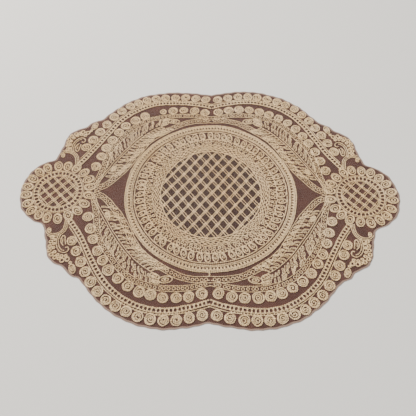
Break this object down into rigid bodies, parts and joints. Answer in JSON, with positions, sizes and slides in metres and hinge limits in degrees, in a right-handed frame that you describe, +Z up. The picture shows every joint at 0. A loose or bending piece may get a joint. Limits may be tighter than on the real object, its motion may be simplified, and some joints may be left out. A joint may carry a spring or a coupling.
{
  "type": "lace doily",
  "caption": "Flat oval doily with lobed edge: net ground under raised chain-stitch work, a round medallion, end rosettes and disc borders.",
  "frame": {"origin": "on the surface it lies on, under the middle of the doily", "axes": "+X along the doily's length, from rosette to rosette; +Y across it; +Z up, out of its worked face"},
  "size_m": [0.461, 0.3366, 0.002],
  "materials": {
    "lace": "matt cream cotton thread on a sheer taupe net"
  },
  "bodies": {
    "root": {"doily": "lace"}
  },
  "joints": []
}
